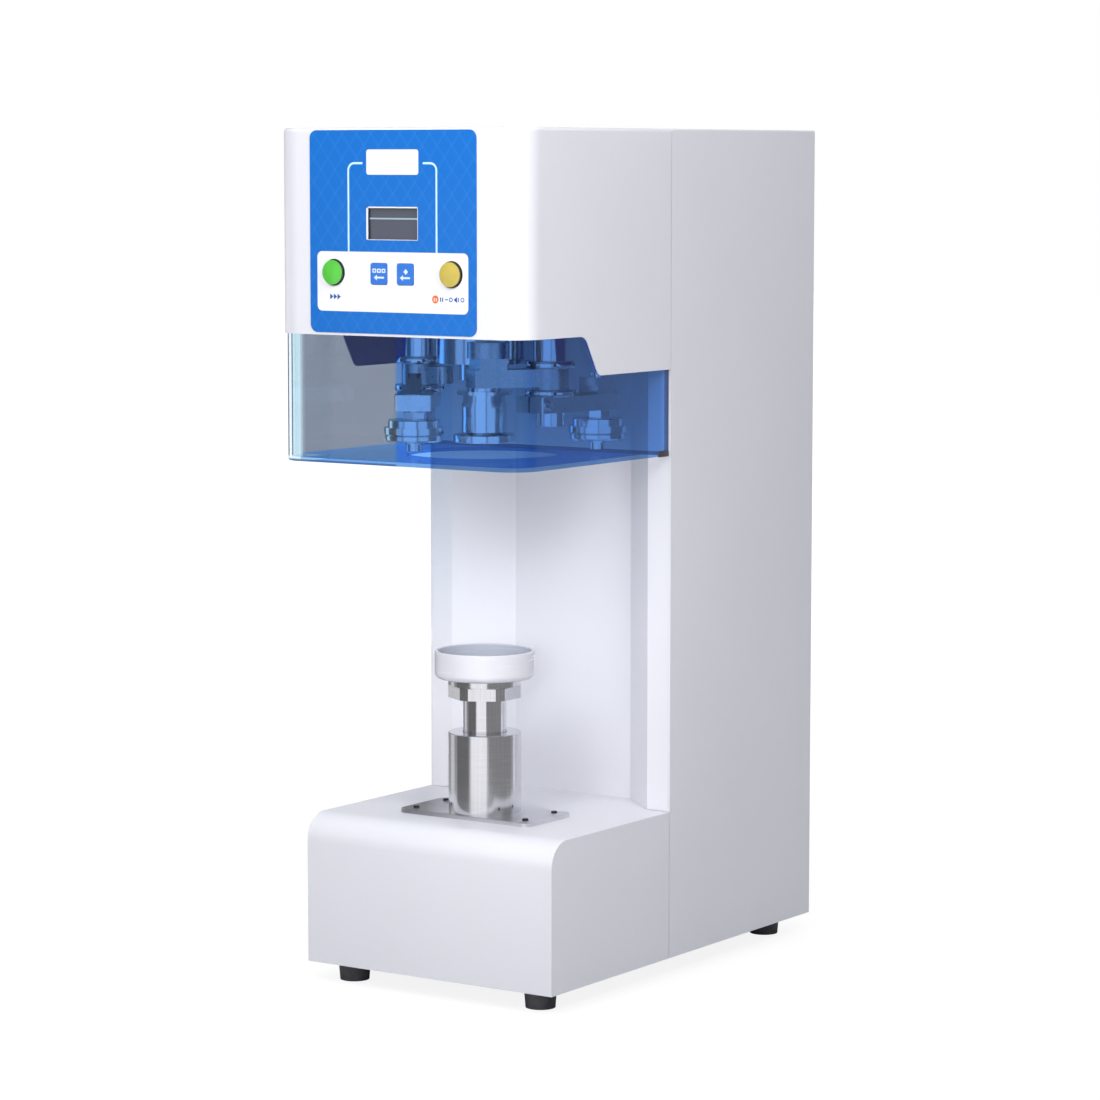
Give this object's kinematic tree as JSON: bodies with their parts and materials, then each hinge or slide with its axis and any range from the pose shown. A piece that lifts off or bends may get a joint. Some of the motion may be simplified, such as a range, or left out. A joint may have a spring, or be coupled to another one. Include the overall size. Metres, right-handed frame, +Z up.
{
  "type": "can seamer",
  "caption": "Bench-top electric can seamer: white sheet-metal column with a control panel, tinted guard round two seaming rollers and a chuck, and a rising cup for the can",
  "frame": {"origin": "centre of the footprint, on the plane of the feet", "axes": "+X to the right as seen from the front, +Y to the back, +Z up along the can's axis"},
  "size_m": [0.24, 0.4517, 0.693],
  "materials": {
    "white_paint": "satin powder coat, cool white",
    "stainless": "fine turned stainless steel",
    "brushed_plate": "brushed stainless sheet",
    "tool_steel": "ground tool steel",
    "nickel_steel": "bright nickel-plated machined steel",
    "zinc_steel": "zinc-plated steel plate",
    "chrome_shaft": "hard-chromed ground shaft",
    "aluminium": "machined aluminium",
    "bronze": "sintered bronze",
    "screw_steel": "zinc-plated screws",
    "black_screw": "blackened socket screws",
    "guard_acrylic": "tinted blue clear acrylic, polished",
    "overlay_film": "printed polyester film",
    "lcd_glass": "dark clear display window",
    "circuit_board": "green solder resist",
    "green_plastic": "moulded, glossy",
    "yellow_plastic": "moulded, glossy",
    "blue_plastic": "moulded, glossy",
    "cup_plastic": "turned, satin",
    "black_plastic": "moulded, fine grain",
    "motor_black": "black enamel",
    "foot_rubber": "moulded rubber",
    "belt_rubber": "belt rubber"
  },
  "bodies": {
    "frame_body": {"base_cover": "white_paint", "lift_plate": "brushed_plate", "lift_table": "zinc_steel", "lift_plate_screws": "black_screw", "lift_sleeve": "stainless", "lift_bush": "bronze", "cam_brackets": "zinc_steel", "lift_gearmotor": "motor_black", "base_pan": "zinc_steel", "feet": "foot_rubber", "foot_screws": "screw_steel", "column_panel": "white_paint", "column_posts": "zinc_steel", "head_plate": "zinc_steel", "head_cover": "white_paint", "rear_cover": "white_paint", "guard": "guard_acrylic", "guard_screws": "screw_steel", "cover_screws": "screw_steel", "control_overlay": "overlay_film", "lcd_window": "lcd_glass", "display_board": "circuit_board", "spindle_housing": "nickel_steel", "spindle_bearings": "tool_steel", "drive_belt": "belt_rubber", "spindle_motor": "motor_black", "pivot_housings": "nickel_steel", "arm_gearmotors": "motor_black", "power_inlet": "black_plastic", "control_board": "circuit_board"},
    "lifter": {"lift_shaft": "chrome_shaft", "lift_nut": "stainless", "lift_roller_pin": "tool_steel"},
    "lift_roller_body": {"lift_roller": "tool_steel"},
    "lift_cam_body": {"lift_cam": "tool_steel", "lift_cam_shaft": "tool_steel"},
    "cup": {"can_cup": "cup_plastic", "cup_bearing": "tool_steel"},
    "spindle_body": {"chuck": "tool_steel", "spindle": "tool_steel", "spindle_pulley": "aluminium"},
    "motor_rotor": {"motor_pulley": "aluminium", "motor_shaft": "tool_steel"},
    "first_arm_body": {"first_arm": "tool_steel", "first_arm_shaft": "tool_steel", "first_lever": "tool_steel", "first_clamp_screw": "black_screw", "first_roller_pin": "tool_steel"},
    "second_arm_body": {"second_arm": "tool_steel", "second_arm_shaft": "tool_steel", "second_lever": "tool_steel", "second_clamp_screw": "black_screw", "second_roller_pin": "tool_steel"},
    "first_roller_body": {"first_roller": "tool_steel"},
    "second_roller_body": {"second_roller": "tool_steel"},
    "start_button_body": {"start_button": "green_plastic"},
    "pause_button_body": {"pause_button": "yellow_plastic"},
    "left_key_body": {"left_key": "blue_plastic"},
    "right_key_body": {"right_key": "blue_plastic"},
    "power_switch_body": {"power_switch": "black_plastic"}
  },
  "joints": [
    {"name": "lift_cam_turn", "type": "hinge", "parent": "frame_body", "child": "lift_cam_body", "pos_m": [0, -0.1005, 0.06], "axis": [0, -1, 0], "range_deg": [0, 180]},
    {"name": "lift_slide", "type": "slide", "parent": "frame_body", "child": "lifter", "axis": [0, 0, 1], "range_m": [0, 0.025]},
    {"name": "lift_roller_spin", "type": "hinge", "parent": "lifter", "child": "lift_roller_body", "pos_m": [0, -0.1005, 0.0833], "axis": [0, -1, 0], "continuous": true},
    {"name": "cup_spin", "type": "hinge", "parent": "lifter", "child": "cup", "pos_m": [0, -0.1005, 0.258], "axis": [0, 0, 1], "continuous": true},
    {"name": "spindle_spin", "type": "hinge", "parent": "frame_body", "child": "spindle_body", "pos_m": [0, -0.1005, 0.548], "axis": [0, 0, 1], "continuous": true},
    {"name": "motor_spin", "type": "hinge", "parent": "frame_body", "child": "motor_rotor", "pos_m": [0, 0.15, 0.6], "axis": [0, 0, 1], "continuous": true},
    {"name": "first_arm_swing", "type": "hinge", "parent": "frame_body", "child": "first_arm_body", "pos_m": [-0.064, -0.1005, 0.5], "axis": [0, 0, 1], "range_deg": [-47, 8.4]},
    {"name": "second_arm_swing", "type": "hinge", "parent": "frame_body", "child": "second_arm_body", "pos_m": [0.064, -0.1005, 0.5], "axis": [0, 0, 1], "range_deg": [0, 49.4]},
    {"name": "first_roller_spin", "type": "hinge", "parent": "first_arm_body", "child": "first_roller_body", "pos_m": [-0.03567, -0.14764, 0.4524], "axis": [0, 0, 1], "continuous": true},
    {"name": "second_roller_spin", "type": "hinge", "parent": "second_arm_body", "child": "second_roller_body", "pos_m": [0.07355, -0.04634, 0.4524], "axis": [0, 0, 1], "continuous": true},
    {"name": "start_button_press", "type": "slide", "parent": "frame_body", "child": "start_button_body", "axis": [0, 1, 0], "range_m": [0, 0.002], "stiffness_N_per_m": 400, "springref_m": -0.0015},
    {"name": "pause_button_press", "type": "slide", "parent": "frame_body", "child": "pause_button_body", "axis": [0, 1, 0], "range_m": [0, 0.002], "stiffness_N_per_m": 400, "springref_m": -0.0015},
    {"name": "left_key_press", "type": "slide", "parent": "frame_body", "child": "left_key_body", "axis": [0, 1, 0], "range_m": [0, 0.0008], "stiffness_N_per_m": 600, "springref_m": -0.001},
    {"name": "right_key_press", "type": "slide", "parent": "frame_body", "child": "right_key_body", "axis": [0, 1, 0], "range_m": [0, 0.0008], "stiffness_N_per_m": 600, "springref_m": -0.001},
    {"name": "power_switch_rock", "type": "hinge", "parent": "frame_body", "child": "power_switch_body", "pos_m": [0.062, 0.2215, 0.0945], "axis": [1, 0, 0], "range_deg": [-6, 6]}
  ],
  "couplings": [
    {"joint": "lift_slide", "follows": "lift_cam_turn", "m_per_rad": 0.0079577},
    {"joint": "motor_spin", "follows": "spindle_spin", "ratio": 1.4348}
  ]
}
